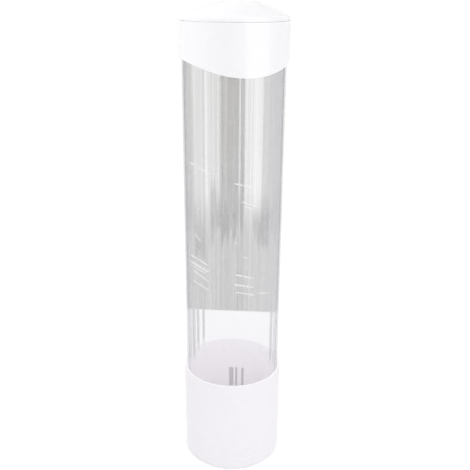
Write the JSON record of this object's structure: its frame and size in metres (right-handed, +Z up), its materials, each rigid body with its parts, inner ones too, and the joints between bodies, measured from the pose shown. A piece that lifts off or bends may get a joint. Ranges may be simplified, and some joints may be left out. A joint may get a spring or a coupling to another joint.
{
  "type": "cup dispenser",
  "caption": "Upright pull-down dispenser for disposable cups: clear ribbed tube in a white round base with sprung pawls, under a turning collar and a lift-off domed lid.",
  "frame": {"origin": "under the middle of the part's box, on the surface that it stands on; the tube's axis is 2.45 mm in front of it", "axes": "+Z up along the tube, -Y to the front, +X to the right seen from the front"},
  "size_m": [0.0868, 0.0917, 0.3991],
  "materials": {
    "clear_tube": "clear, ribbed inside, scuffed",
    "cap_white": "satin moulded plastic",
    "base_white": "satin moulded plastic",
    "inner_white": "plain moulded plastic",
    "pawl_grey": "slippery grey plastic",
    "ferrite": "matt brown sintered ferrite",
    "zinc_steel": "zinc plated",
    "spring_steel": "bright drawn wire"
  },
  "bodies": {
    "dispenser": {"tube": "clear_tube", "base_shell": "base_white", "outlet_ring": "base_white", "pawl_carrier": "inner_white", "magnet": "ferrite", "back_plate": "inner_white", "back_plate_screws": "zinc_steel", "outlet_ring_screws": "zinc_steel", "pawl_pin_right": "zinc_steel", "pawl_pin_rear": "zinc_steel", "pawl_pin_left": "zinc_steel", "pawl_pin_front": "zinc_steel", "pawl_spring_right": "spring_steel", "pawl_spring_rear": "spring_steel", "pawl_spring_left": "spring_steel", "pawl_spring_front": "spring_steel"},
    "collar": {"collar": "cap_white"},
    "lid": {"lid": "cap_white"},
    "pawl_right": {"pawl_right": "pawl_grey"},
    "pawl_rear": {"pawl_rear": "pawl_grey"},
    "pawl_left": {"pawl_left": "pawl_grey"},
    "pawl_front": {"pawl_front": "pawl_grey"}
  },
  "joints": [
    {"name": "collar_turn", "type": "hinge", "parent": "dispenser", "child": "collar", "pos_m": [0, -0.00245, 0.365], "axis": [0, 0, 1], "continuous": true},
    {"name": "lid_lift", "type": "slide", "parent": "collar", "child": "lid", "axis": [0, 0, 1], "range_m": [0, 0.06]},
    {"name": "pawl_right_tilt", "type": "hinge", "parent": "dispenser", "child": "pawl_right", "pos_m": [0.0384, -0.00245, 0.0235], "axis": [0, -1, 0], "range_deg": [0, 80], "stiffness_Nm_per_rad": 0.008, "springref_deg": -34.38, "deforming": ["pawl_spring_right"]},
    {"name": "pawl_rear_tilt", "type": "hinge", "parent": "dispenser", "child": "pawl_rear", "pos_m": [0, 0.03595, 0.0235], "axis": [1, 0, 0], "range_deg": [0, 80], "stiffness_Nm_per_rad": 0.008, "springref_deg": -34.38, "deforming": ["pawl_spring_rear"]},
    {"name": "pawl_left_tilt", "type": "hinge", "parent": "dispenser", "child": "pawl_left", "pos_m": [-0.0384, -0.00245, 0.0235], "axis": [0, 1, 0], "range_deg": [0, 80], "stiffness_Nm_per_rad": 0.008, "springref_deg": -34.38, "deforming": ["pawl_spring_left"]},
    {"name": "pawl_front_tilt", "type": "hinge", "parent": "dispenser", "child": "pawl_front", "pos_m": [0, -0.04085, 0.0235], "axis": [-1, 0, 0], "range_deg": [0, 80], "stiffness_Nm_per_rad": 0.008, "springref_deg": -34.38, "deforming": ["pawl_spring_front"]}
  ]
}
